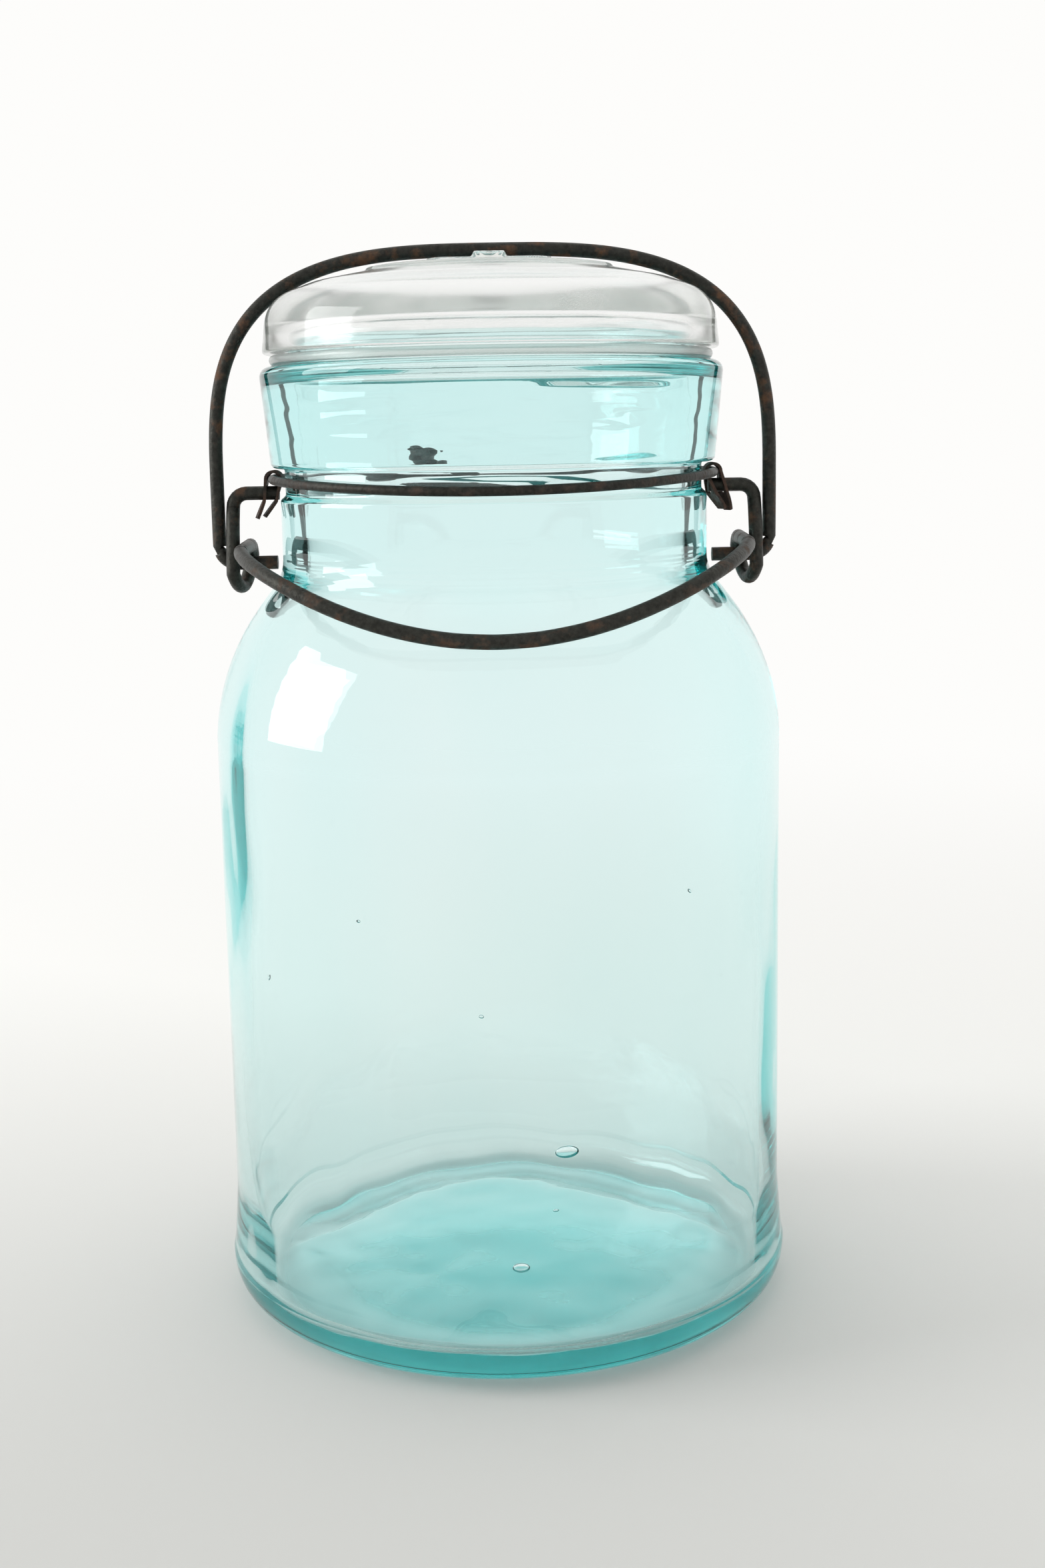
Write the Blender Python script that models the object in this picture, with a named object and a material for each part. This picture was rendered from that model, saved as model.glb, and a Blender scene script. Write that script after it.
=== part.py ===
"""Glass canning jar with a glass lid held by a wire bail and a toggle lever.

Metres, +Z up.  The origin is the centre of the base, on the floor.  The lever's handle
is at -Y, and the hinge axes of the wires run along X.
"""
import math

import bmesh
import bpy
from mathutils import Matrix, Vector

MM = 0.001
SEGMENTS = 48            # round the jar
BEND_STEP = math.radians(22.5)

# Driving dimensions, in millimetres
BODY_R = 50.0            # straight side of the jar
BODY_TOP = 100.0         # height where the side starts to turn in
SHOULDER_BEND = 41.0     # radius of the shoulder, seen from the side
SHOULDER_TURN = math.radians(38)
NECK_R = 37.2
LEDGE_Z = 165.9          # ledge that carries the sealing ring
LIP_Z = 170.2            # top of the jar's glass
WALL = 3.2
GAP = 0.3                # between pieces that touch
WIRE_R = 1.2             # bail and lever
NECK_WIRE_R = 0.8

HEEL_R = BODY_R + 1.1
COLLAR_TOP_R = BODY_R - 9.8
COLLAR_FOOT_R = BODY_R - 11.4
COLLAR_FOOT_Z = 148.8
GROOVE_R = NECK_R - 0.9
LIP_R = 35.2
MOUTH_R = 32.0
HEEL_BEND = 7.0          # rounding of the bottom edge
UNDERSIDE_Z = 0.9        # middle of the base, which stands on a ring
FLOOR_Z = 4.8            # inside of the base, at the wall
MOUND = 5.7              # how much thicker the base is in its middle

RING_HEIGHT = 1.5
RING_R = 38.3
LID_R = 39.4
LID_Z = LEDGE_Z + RING_HEIGHT + 2 * GAP
LID_TOP = LID_Z + 14.3
LID_HOLLOW_R = LIP_R + 0.6
PLATEAU_R = 21.2
BAR_TOP = LID_Z + 15.6   # bar that the bail presses on
BAR_SIZE = (23.0, 11.5)
BUMP_TOP = LID_Z + 16.6
BUMP_SIZE = (6.5, 3.0)
BUMP_Y = WIRE_R + 0.65 + BUMP_SIZE[1] / 2

# Closure, in millimetres
NECK_WIRE_PATH_R = 38.4
NECK_WIRE_FRONT_Z = 145.3
NECK_WIRE_SIDE_Z = 146.9     # the clips pull it up at the sides
TWIST_TURNS = 2.5            # neck wire's ends round each other
TWIST_LENGTH = 14.0
TWIST_OFFSET = 3.0           # out from the rest of the wire
TWIST_RISE = 6.5             # the twisted ends are bent up behind the collar
GROOVE_FOOT_Z = NECK_WIRE_FRONT_Z - NECK_WIRE_R - 1.2
PIVOT_Z = NECK_WIRE_SIDE_Z - NECK_WIRE_R - GAP - WIRE_R - 0.1
PIVOT_ARM = 12.1             # lever pivot down to the bail's pin
PIN_Z = PIVOT_Z - PIVOT_ARM
PIVOT_END_X = 37.6
PIN_END_X = 38.3
LEG_X = 45.75                # lever, outer strand of each eye
ARM_X = 43.1                 # lever, inner strand, which runs on into the handle
EYE_R = 3.6
EYE_Z = PIN_Z - 0.5
PIVOT_BEND = 2.4
HANDLE_REACH = 46.0
HANDLE_DROP = 13.0
HANDLE_DROOP = 1.2              # exponent of the fall from the sides to the middle
HANDLE_SQUARENESS = 3.2      # exponent of the handle's outline, where 2 is round
BAIL_X = 48.4
BAIL_WIDEST_Z = 145.5
BAIL_TOP_Z = BAR_TOP + GAP + WIRE_R
BAIL_SQUARENESS = 3.1
HOOK_BEND = 3.0

SHEET = 0.5                  # clip material
CLIP_FOLD_R = NECK_WIRE_R + 0.25 + SHEET / 2
CLIP_HALF_WIDTH = 2.2
CLIP_TIP_HALF_WIDTH = 1.0
CLIP_TIP_Z = 140.2
CLIP_HOLE_R = (WIRE_R + GAP) * 1.04
LEFT_CLIP_TWIST = math.radians(-15)   # at the tips of each clip
RIGHT_CLIP_TWIST = math.radians(30)


def clear_scene():
    for obj in list(bpy.data.objects):
        bpy.data.objects.remove(obj)


def make_material(name, colour, roughness, metallic=0.0, transmission=0.0):
    material = bpy.data.materials.new(name)
    material.use_nodes = True
    shader = material.node_tree.nodes["Principled BSDF"]
    shader.inputs["Base Color"].default_value = (*colour, 1.0)
    shader.inputs["Roughness"].default_value = roughness
    shader.inputs["Metallic"].default_value = metallic
    shader.inputs["Transmission Weight"].default_value = transmission
    return material


def arc(centre, radius, start, end):
    """Points on an arc in the plane of an outline, from one angle to another."""
    count = max(2, math.ceil(abs(end - start) / BEND_STEP - 0.01))
    angles = [start + (end - start) * i / count for i in range(count + 1)]
    return [(centre[0] + radius * math.cos(a), centre[1] + radius * math.sin(a)) for a in angles]


def rounded(corners, closed=False):
    """Outline through corners (x, y, radius of the rounding)."""
    points = []
    for i, (x, y, radius) in enumerate(corners):
        corner = Vector((x, y))
        at_end = i in (0, len(corners) - 1) and not closed
        if radius == 0 or at_end:
            points.append(corner)
            continue
        before = (Vector(corners[i - 1][:2]) - corner).normalized()
        after = (Vector(corners[(i + 1) % len(corners)][:2]) - corner).normalized()
        half = before.angle(after) / 2
        centre = corner + (before + after).normalized() * radius / math.sin(half)
        first = corner + before * radius / math.tan(half) - centre
        last = corner + after * radius / math.tan(half) - centre
        turn = first.angle_signed(last)
        count = max(1, math.ceil(abs(turn) / BEND_STEP - 0.01))
        for k in range(count + 1):
            points.append(centre + Matrix.Rotation(-turn * k / count, 2) @ first)
    return [(p[0], p[1]) for p in points]


def finish_object(name, mesh, material, sharp=math.radians(35)):
    obj = bpy.data.objects.new(name, mesh)
    bpy.context.collection.objects.link(obj)
    if material:
        mesh.materials.append(material)
    mesh.shade_smooth()
    mesh.set_sharp_from_angle(angle=sharp)
    return obj


def turned(name, outline, material):
    """Solid of revolution round Z from (radius, height) points, as a closed mesh."""
    bm = bmesh.new()
    rings = []
    for radius, height in outline:
        if radius < 1e-6:
            rings.append([bm.verts.new((0, 0, height * MM))])
            continue
        ring = []
        for i in range(SEGMENTS):
            a = 2 * math.pi * i / SEGMENTS
            ring.append(bm.verts.new((radius * math.cos(a) * MM, radius * math.sin(a) * MM, height * MM)))
        rings.append(ring)
    pairs = list(zip(rings, rings[1:]))
    if len(rings[0]) > 1:
        pairs.append((rings[-1], rings[0]))
    for low, high in pairs:
        for i in range(SEGMENTS):
            j = (i + 1) % SEGMENTS
            corners = [low[i % len(low)], low[j % len(low)], high[j % len(high)], high[i % len(high)]]
            bm.faces.new(list(dict.fromkeys(corners)))
    bmesh.ops.recalc_face_normals(bm, faces=bm.faces)
    mesh = bpy.data.meshes.new(name)
    bm.to_mesh(mesh)
    bm.free()
    return finish_object(name, mesh, material)


def prism(name, outline, low, high, material=None):
    """Upright solid from a closed (x, y) outline."""
    bm = bmesh.new()
    face = bm.faces.new([bm.verts.new((x * MM, y * MM, low * MM)) for x, y in outline])
    side = bmesh.ops.extrude_face_region(bm, geom=[face])
    top = [v for v in side["geom"] if isinstance(v, bmesh.types.BMVert)]
    bmesh.ops.translate(bm, verts=top, vec=(0, 0, (high - low) * MM))
    bmesh.ops.recalc_face_normals(bm, faces=bm.faces)
    mesh = bpy.data.meshes.new(name)
    bm.to_mesh(mesh)
    bm.free()
    return finish_object(name, mesh, material)


def wire(name, path, radius, material):
    """Round wire along a list of points, with flat cut ends."""
    curve = bpy.data.curves.new(name, "CURVE")
    curve.dimensions = "3D"
    curve.bevel_depth = radius * MM
    curve.bevel_resolution = 2
    curve.use_fill_caps = True
    curve.materials.append(material)
    spline = curve.splines.new("POLY")
    spline.points.add(len(path) - 1)
    for point, place in zip(spline.points, path):
        point.co = (place[0] * MM, place[1] * MM, place[2] * MM, 1.0)
    spline.use_smooth = True
    obj = bpy.data.objects.new(name, curve)
    bpy.context.collection.objects.link(obj)
    return obj


def hang_on_pivot(obj, pivot_z):
    """Give a moving piece its origin on its own hinge axis."""
    pivot = Vector((0, 0, pivot_z * MM))
    if obj.type == "CURVE":
        for point in obj.data.splines[0].points:
            point.co = (*(point.co.to_3d() - pivot), 1.0)
    obj.location = pivot


def cut(obj, cutter, operation="DIFFERENCE"):
    modifier = obj.modifiers.new(cutter.name, "BOOLEAN")
    modifier.operation = operation
    modifier.object = cutter
    cutter.hide_render = True
    cutter.display_type = "WIRE"


def jar_body(material):
    shoulder = (BODY_R - SHOULDER_BEND, BODY_TOP)
    steepness = math.tan(math.pi / 2 - SHOULDER_TURN)     # where the shoulder meets the neck
    outer = arc(shoulder, SHOULDER_BEND, 0, SHOULDER_TURN)
    inner = arc(shoulder, SHOULDER_BEND - WALL, SHOULDER_TURN, 0)
    neck_foot = outer[-1][1] + (outer[-1][0] - NECK_R) * steepness
    bore = NECK_R - WALL - 1.0
    bore_foot = inner[0][1] + (inner[0][0] - bore) * steepness
    underside = rounded([
        (0, UNDERSIDE_Z, 0),
        (36.0, UNDERSIDE_Z, 0),
        (43.0, 0, 0),
        (HEEL_R, 0, HEEL_BEND),
        (HEEL_R, HEEL_BEND + 0.8, 0),
        (HEEL_R - 0.3, HEEL_BEND + 1.8, 0),
        (BODY_R, 20.0, 0),
    ])
    finish = rounded([
        (*outer[-1], 0),
        (NECK_R, neck_foot, 6.0),
        (NECK_R, GROOVE_FOOT_Z, 0),
        (GROOVE_R, GROOVE_FOOT_Z + 0.6, 0),
        (GROOVE_R, COLLAR_FOOT_Z, 0),
        (COLLAR_FOOT_R, COLLAR_FOOT_Z, 0.9),
        (COLLAR_TOP_R, LEDGE_Z, 1.8),
        (LIP_R, LEDGE_Z, 0),
        (LIP_R, LIP_Z, 1.5),
        (MOUTH_R, LIP_Z, 1.5),
        (bore, COLLAR_FOOT_Z, 0),
        (bore, bore_foot, 6.0),
        (*inner[0], 0),
    ])
    inside = rounded([
        (*inner[-1], 0),
        (BODY_R - WALL, FLOOR_Z, 5.0),
        (35.0, FLOOR_Z + 0.4 * MOUND, 0),
        (20.0, FLOOR_Z + 0.85 * MOUND, 0),
        (0, FLOOR_Z + MOUND, 0),
    ])
    return turned("jar_body", underside + outer[:-1] + finish + inner[1:-1] + inside, material)


def sealing_ring(material):
    low = LEDGE_Z + GAP
    high = low + RING_HEIGHT
    inner = LIP_R + 0.4
    bulge = (RING_R, low + RING_HEIGHT / 2)
    outline = [(inner, low), (RING_R - 0.4, low), bulge, (RING_R - 0.4, high), (inner, high)]
    return turned("sealing_ring", outline, material)


def lid(material):
    outside = rounded([
        (LID_HOLLOW_R, LID_Z, 0),
        (LID_R, LID_Z, 0),
        (LID_R - 0.8, LID_Z + 8.8, 6.5),
        (PLATEAU_R + 10.0, LID_Z + 11.6, 15.0),
        (PLATEAU_R + 0.6, LID_Z + 13.5, 0),
        (PLATEAU_R, LID_TOP - 0.2, 0),
        (0, LID_TOP, 0),
    ])
    hollow = rounded([
        (0, LID_Z + 9.4, 0),
        (26.0, LID_Z + 8.6, 12.0),
        (LID_HOLLOW_R - 1.0, LID_Z + 4.2, 2.0),
        (LID_HOLLOW_R, LID_Z, 0),
    ])
    solid = turned("lid", hollow[:-1] + outside, material)
    half_x, half_y = BAR_SIZE[0] / 2, BAR_SIZE[1] / 2
    stadium = [(-half_x, -half_y, 4.5), (half_x, -half_y, 4.5), (half_x, half_y, 4.5), (-half_x, half_y, 4.5)]
    cut(solid, prism("bar_shape", rounded(stadium, True), LID_TOP - 2.0, BAR_TOP), "UNION")
    for name, side in (("front_bump_shape", -1), ("back_bump_shape", 1)):
        low_y = side * BUMP_Y - BUMP_SIZE[1] / 2
        high_y = low_y + BUMP_SIZE[1]
        half = BUMP_SIZE[0] / 2
        square = [(-half, low_y, 1.2), (half, low_y, 1.2), (half, high_y, 1.2), (-half, high_y, 1.2)]
        cut(solid, prism(name, rounded(square, True), BAR_TOP - 1.0, BUMP_TOP), "UNION")
    return solid


def neck_wire_height(angle):
    return NECK_WIRE_FRONT_Z + (NECK_WIRE_SIDE_Z - NECK_WIRE_FRONT_Z) * math.cos(angle) ** 2


def neck_wire(material):
    """One wire round the neck whose ends are twisted together and laid along the back."""
    strand = NECK_WIRE_R + 0.12
    twist_start = math.radians(94)
    twist_span = TWIST_LENGTH / NECK_WIRE_PATH_R
    ring_start = math.radians(80)
    ring_span = math.radians(340)
    steps = 28

    def twisted(offset_angle, share):
        """A strand of the twist, which leaves the neck towards -X, behind the jar."""
        spin = offset_angle + 2 * math.pi * TWIST_TURNS * share
        angle = twist_start + twist_span * share
        radius = NECK_WIRE_PATH_R + TWIST_OFFSET + strand * math.cos(spin)
        height = NECK_WIRE_FRONT_Z + TWIST_RISE * share + strand * math.sin(spin)
        return (radius * math.cos(angle), radius * math.sin(angle), height)

    first = [twisted(0.0, 1 - i / steps) for i in range(steps + 1)]
    second = [twisted(math.pi, i / steps) for i in range(steps + 1)]
    ring = []
    for i in range(61):
        angle = ring_start - ring_span * i / 60
        ring.append((NECK_WIRE_PATH_R * math.cos(angle), NECK_WIRE_PATH_R * math.sin(angle),
                     neck_wire_height(angle)))
    return wire("neck_wire", first + ring + second, NECK_WIRE_R, material)


def clip(name, side, twist, material):
    """Sheet strip folded over the neck wire, with a leg on each side of it.

    The legs may be twisted about a vertical line between them, most at their tips.
    """
    fold = (NECK_WIRE_PATH_R, NECK_WIRE_SIDE_Z)
    over = arc(fold, CLIP_FOLD_R, math.pi, 0)
    inner_tip = (fold[0] + 1.9, CLIP_TIP_Z + 0.3)
    outer_tip = (fold[0] + 3.2, CLIP_TIP_Z)
    line = [inner_tip, (fold[0] - 0.5, PIVOT_Z - 1.4), *over, (fold[0] + 1.9, PIVOT_Z - 1.4), outer_tip]
    bm = bmesh.new()
    stations = []
    for i, (x, z) in enumerate(line):
        ahead = Vector(line[min(i + 1, len(line) - 1)]) - Vector(line[max(i - 1, 0)])
        normal = Vector((-ahead.y, ahead.x)).normalized() * SHEET / 2
        half = CLIP_TIP_HALF_WIDTH if i in (0, len(line) - 1) else CLIP_HALF_WIDTH
        share = max(0.0, (fold[1] - z) / (fold[1] - CLIP_TIP_Z))
        turn = Matrix.Rotation(twist * share, 3, "Z")
        middle = Vector((fold[0] + 1.2, 0, 0))
        loop = []
        for y, across in ((-half, 1), (half, 1), (half, -1), (-half, -1)):
            place = Vector((x + across * normal.x, y, z + across * normal.y))
            place = turn @ (place - middle) + middle
            loop.append(bm.verts.new(place * MM))
        stations.append(loop)
    for low, high in zip(stations, stations[1:]):
        for k in range(4):
            bm.faces.new((low[k], low[(k + 1) % 4], high[(k + 1) % 4], high[k]))
    bm.faces.new(stations[0])
    bm.faces.new(stations[-1])
    if side < 0:
        bmesh.ops.scale(bm, vec=(-1, 1, 1), verts=bm.verts)
    bmesh.ops.recalc_face_normals(bm, faces=bm.faces)
    mesh = bpy.data.meshes.new(name)
    bm.to_mesh(mesh)
    bm.free()
    solid = finish_object(name, mesh, material)
    bpy.ops.mesh.primitive_cylinder_add(vertices=16, radius=CLIP_HOLE_R * MM, depth=20 * MM,
                                        location=(side * fold[0] * MM, 0, PIVOT_Z * MM),
                                        rotation=(0, math.pi / 2, 0))
    cutter = bpy.context.object
    cutter.name = name + "_hole_shape"
    cut(solid, cutter)
    return solid


def lever_side(side):
    """Path of one side of the lever, from its pivot end to the start of the handle."""
    path = [(PIVOT_END_X, 0, PIVOT_Z)]
    for x, z in arc((LEG_X - PIVOT_BEND, PIVOT_Z - PIVOT_BEND), PIVOT_BEND, math.pi / 2, 0):
        path.append((x, 0, z))
    # Helix round the bail's pin: front, bottom, back, top, moving inward on the way
    turn_start = math.radians(200)
    turn_end = math.radians(440)
    path.append((LEG_X, -1.6, PIVOT_Z - 5.6))
    steps = 20
    for i in range(steps + 1):
        share = i / steps
        angle = turn_start + (turn_end - turn_start) * share
        reach = EYE_R + 0.3 * max(0.0, -math.cos(angle))
        x = LEG_X + (ARM_X - LEG_X) * min(1.0, 1.25 * share)
        path.append((x, reach * math.cos(angle), EYE_Z + EYE_R * math.sin(angle)))
    return [(side * x, y, z) for x, y, z in path]


def lever_handle():
    """Handle from the left eye to the right one: squarish from above and drooping to the middle."""
    top = EYE_Z + EYE_R
    points = []
    power = 2 / HANDLE_SQUARENESS
    low_angle = math.radians(12)
    steps = 36
    for i in range(steps + 1):
        angle = low_angle + (math.pi - 2 * low_angle) * i / steps
        sideways = math.copysign(abs(math.cos(angle)) ** power, math.cos(angle))
        forward = math.sin(angle) ** power
        drop = HANDLE_DROP * (1 - sideways ** 2) ** HANDLE_DROOP
        points.append((-ARM_X * sideways, -HANDLE_REACH * forward, top - drop))
    return points


def lever_wire(material):
    left = lever_side(-1)
    right = lever_side(1)
    obj = wire("lever_wire", left + lever_handle() + right[::-1], WIRE_R, material)
    hang_on_pivot(obj, PIVOT_Z)
    return obj


def bail_wire(material):
    """Hoop over the lid whose ends hook inward through the lever's eyes."""
    hook = arc((BAIL_X - HOOK_BEND, PIN_Z + HOOK_BEND), HOOK_BEND, -math.pi / 2, 0)
    right = [(PIN_END_X, PIN_Z), *hook]
    power = 2 / BAIL_SQUARENESS
    steps = 36
    hoop = []
    for i in range(steps + 1):
        angle = math.pi * i / steps
        x = BAIL_X * math.copysign(abs(math.cos(angle)) ** power, math.cos(angle))
        hoop.append((x, BAIL_WIDEST_Z + (BAIL_TOP_Z - BAIL_WIDEST_Z) * math.sin(angle) ** power))
    left = [(-x, z) for x, z in right[::-1]]
    path = [(x, 0, z) for x, z in right + hoop + left]
    obj = wire("bail_wire", path, WIRE_R, material)
    hang_on_pivot(obj, PIN_Z)
    return obj


def main():
    clear_scene()
    glass = make_material("aqua_glass", (0.62, 0.86, 0.85), 0.03, transmission=1.0)
    clear_glass = make_material("clear_glass", (0.90, 0.94, 0.93), 0.03, transmission=1.0)
    seal = make_material("ring_rubber", (0.80, 0.78, 0.68), 0.5)
    dark_steel = make_material("dark_steel", (0.045, 0.042, 0.035), 0.5, 1.0)
    rusty_steel = make_material("rusty_steel", (0.22, 0.12, 0.07), 0.7, 0.6)
    jar_body(glass)
    sealing_ring(seal)
    lid(clear_glass)
    neck_wire(rusty_steel)
    clip("left_clip", -1, LEFT_CLIP_TWIST, rusty_steel)
    clip("right_clip", 1, RIGHT_CLIP_TWIST, rusty_steel)
    lever_wire(dark_steel)
    bail_wire(dark_steel)


main()
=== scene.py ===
"""Looks of the canning jar: smooth wavy glass, aged wire and a plain studio round it.

Metres, +Z up, around the frame's CAD model.  MM turns lengths in millimetres into metres.
"""
import math

import bmesh
import bpy
import numpy as np
from mathutils import Matrix, Vector, noise


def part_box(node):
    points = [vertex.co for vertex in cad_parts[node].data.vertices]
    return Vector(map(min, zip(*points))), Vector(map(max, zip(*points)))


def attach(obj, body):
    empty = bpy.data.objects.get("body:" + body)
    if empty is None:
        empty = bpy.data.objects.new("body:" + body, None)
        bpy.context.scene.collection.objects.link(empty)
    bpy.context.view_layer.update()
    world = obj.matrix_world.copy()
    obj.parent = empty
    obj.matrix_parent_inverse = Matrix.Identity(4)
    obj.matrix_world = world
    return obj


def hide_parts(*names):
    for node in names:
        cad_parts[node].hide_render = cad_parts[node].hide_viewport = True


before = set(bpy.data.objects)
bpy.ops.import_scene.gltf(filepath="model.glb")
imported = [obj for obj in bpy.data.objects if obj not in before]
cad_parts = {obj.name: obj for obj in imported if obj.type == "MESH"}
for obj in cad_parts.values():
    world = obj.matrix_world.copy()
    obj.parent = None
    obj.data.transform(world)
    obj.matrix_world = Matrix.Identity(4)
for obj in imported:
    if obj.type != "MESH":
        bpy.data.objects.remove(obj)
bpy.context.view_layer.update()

MM = 0.001


def span(node, axis):
    """Lowest and highest value of a CAD node along an axis, in millimetres."""
    low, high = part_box(node)
    return low[axis] / MM, high[axis] / MM


# Sizes read from the frame, in millimetres
JAR_TOP = span("jar_body", 2)[1]
HEEL_R = span("jar_body", 0)[1]
RING_LOW, RING_HIGH = span("sealing_ring", 2)
RING_R = span("sealing_ring", 0)[1]
LID_LOW, LID_BUMP_TOP = span("lid", 2)
LID_R = span("lid", 0)[1]
BAIL_TOP = span("bail_wire", 2)[1]
WIRE_R = span("bail_wire", 1)[1]
BAIL_X = span("bail_wire", 0)[1] - WIRE_R
PIN_Z = span("bail_wire", 2)[0] + WIRE_R
PIVOT_Z = span("lever_wire", 2)[1] - WIRE_R
LEG_X = span("lever_wire", 0)[1] - WIRE_R
NECK_WIRE_R = 0.8
NECK_WIRE_PATH_R = RING_R + 0.1
NECK_WIRE_FRONT_Z = PIVOT_Z + 0.8
NECK_WIRE_SIDE_Z = PIVOT_Z + 2.4
CLIP_TIP_Z = span("left_clip", 2)[0]

# Jar glass, in millimetres
BODY_R = HEEL_R - 1.1
BODY_TOP = JAR_TOP - 70.2
SHOULDER_BEND = 41.0
SHOULDER_TURN = math.radians(38)
NECK_R = BODY_R - 12.8
GROOVE_R = NECK_R - 0.9
GROOVE_FOOT_Z = NECK_WIRE_FRONT_Z - NECK_WIRE_R - 1.2
COLLAR_FOOT_R = BODY_R - 11.4
COLLAR_FOOT_Z = JAR_TOP - 21.4
COLLAR_TOP_R = BODY_R - 9.8
LEDGE_Z = JAR_TOP - 4.3
LIP_R = 35.2
MOUTH_R = 32.0
WALL = 3.2
FLOOR_Z = 4.2
FLOOR_BEND = 3.0
SWELL_HEIGHT = 8.0
SWELL_BACK = 18.0       # how far behind the middle the ridge of the base runs
SWELL_EDGE = 1.6
HEEL_BEND = 7.0
HEEL_END_Z = 20.0       # here the heel has narrowed to the body
UNDERSIDE_Z = 0.9
UNDERSIDE_R = 36.0
FOOT_R = 43.0
FROSTED_R = 44.0        # the underside is worn dull inside this radius
GLASS_SEGMENTS = 192
GLASS_SPACING = 0.9

# Bubbles in the wall: angle in degrees, height, width, tallness and depth in millimetres
BUBBLES = [
    (-78.7, 40.3, 3.9, 2.1, 1.0),
    (-87.8, 21.0, 2.8, 1.7, 0.9),
    (-81.0, 30.5, 1.0, 0.5, 0.4),
    (-118.0, 78.0, 0.7, 0.5, 0.4),
    (35.0, 64.0, 1.6, 0.8, 0.6),
    (160.0, 52.0, 2.2, 1.0, 0.7),
    (95.0, 33.0, 1.4, 0.8, 0.6),
]

# Wires and clips, in millimetres
TWIST_TURNS = 2.5
TWIST_LENGTH = 14.0
TWIST_OFFSET = 3.0
TWIST_RISE = 6.5
PIVOT_END_X = NECK_WIRE_PATH_R - 0.8
PIN_END_X = NECK_WIRE_PATH_R - 0.1
ARM_X = LEG_X - 2.65
PIVOT_BEND = 2.4
EYE_R = 3.6
EYE_Z = PIN_Z - 0.5
HANDLE_REACH = -span("lever_wire", 1)[0] - WIRE_R
HANDLE_DROP = 13.0
HANDLE_DROOP = 1.2
HANDLE_SQUARENESS = 3.2
BAIL_WIDEST_Z = JAR_TOP - 24.7
BAIL_TOP_Z = BAIL_TOP - WIRE_R
BAIL_SQUARENESS = 3.1
HOOK_BEND = 3.0
SHEET = 0.5
CLIP_FOLD_R = NECK_WIRE_R + 0.25 + SHEET / 2
CLIP_NARROW_Z = PIVOT_Z - 1.4       # from here down the legs get narrower
CLIP_HALF_WIDTH = 2.2
CLIP_TIP_HALF_WIDTH = 1.0
CLIP_HOLE_R = WIRE_R + 0.3
LEFT_CLIP_TWIST = math.radians(-15)
RIGHT_CLIP_TWIST = math.radians(30)

# Lid glass, in millimetres
HOLLOW_R = LIP_R + 0.6
PLATEAU_R = 21.2
PLATEAU_Z = LID_LOW + 14.1
BAR_TOP = LID_BUMP_TOP - 1.0
BAR_SIZE = (23.0, 11.5)
BUMP_SIZE = (6.5, 3.0)
BUMP_Y = WIRE_R + 0.65 + BUMP_SIZE[1] / 2

# Materials: what the glass takes off per metre, and the colours of metal and rust
AQUA_ABSORBS = (38.0, 7.5, 7.5)
CLEAR_ABSORBS = (3.2, 2.8, 3.2)
BASE_FROST = 0.35
CLEAR_HAZE = 0.1
GLASS_BOUNCES = 48          # light turns many times inside thick glass
LEVER_STEEL, LEVER_RUST = (0.052, 0.052, 0.044), (0.115, 0.062, 0.034)
BAIL_STEEL, BAIL_RUST = (0.050, 0.050, 0.043), (0.150, 0.075, 0.038)
NECK_WIRE_STEEL, NECK_WIRE_RUST = (0.045, 0.043, 0.036), (0.085, 0.055, 0.040)
CLIP_STEEL, CLIP_RUST = (0.055, 0.047, 0.040), (0.115, 0.062, 0.042)

# Camera and studio, in metres
CAMERA_PLACE = Vector((0.0, -0.3430, 0.1549))
CAMERA_YAW = math.radians(0.683)
CAMERA_PITCH = math.radians(10.433)
CAMERA_ROLL = math.radians(-1.053)
CAMERA_LENS = 44.39
BACKDROP = (0.985, 0.98, 0.965)
ROOM_SHADE = 0.68           # brightness behind the camera, beside the backdrop's
FLOOR_RADIUS = 4.0
FLOOR_DROP = -0.0003        # a hair under the jar, so that the glass ends in air
# Painted shade on the floor: its colour is darker towards the viewer and slightly to the left, where less
# light falls
FLOOR_NEAR_Y, FLOOR_FAR_Y = -0.16, 0.15
FLOOR_SLANT = 0.5           # the painted shade runs slightly towards the left as well
FLOOR_NEAR_SHADED, FLOOR_FAR_LIT = (0.67, 0.67, 0.65), (0.95, 0.95, 0.93)
FADE_START, FADE_END = 0.10, 0.62
PAINTED_GLOW_UNDER_JAR = 0.6        # painted light: the floor glows below the jar, in place of the light that the glass gathers there
GLOW_INNER, GLOW_OUTER = 0.030, 0.052
PAINTED_GLOW_COLOUR = (0.85, 1.0, 0.98)
SOFTBOX_PLACE = (-0.85, -0.05, 0.36)
SOFTBOX_TARGET = Vector((0.0, 0.0, 0.11))
SOFTBOX_SIZE = 0.5
SOFTBOX_ENERGY = 3.6


# ---------------------------------------------------------------- outlines and meshes

def arc(centre, radius, start, end, step=math.radians(4)):
    """Points (x, y) along a circular arc, from one angle to another."""
    count = max(2, math.ceil(abs(end - start) / step))
    angles = [start + (end - start) * i / count for i in range(count + 1)]
    return [(centre[0] + radius * math.cos(a), centre[1] + radius * math.sin(a)) for a in angles]


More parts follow.
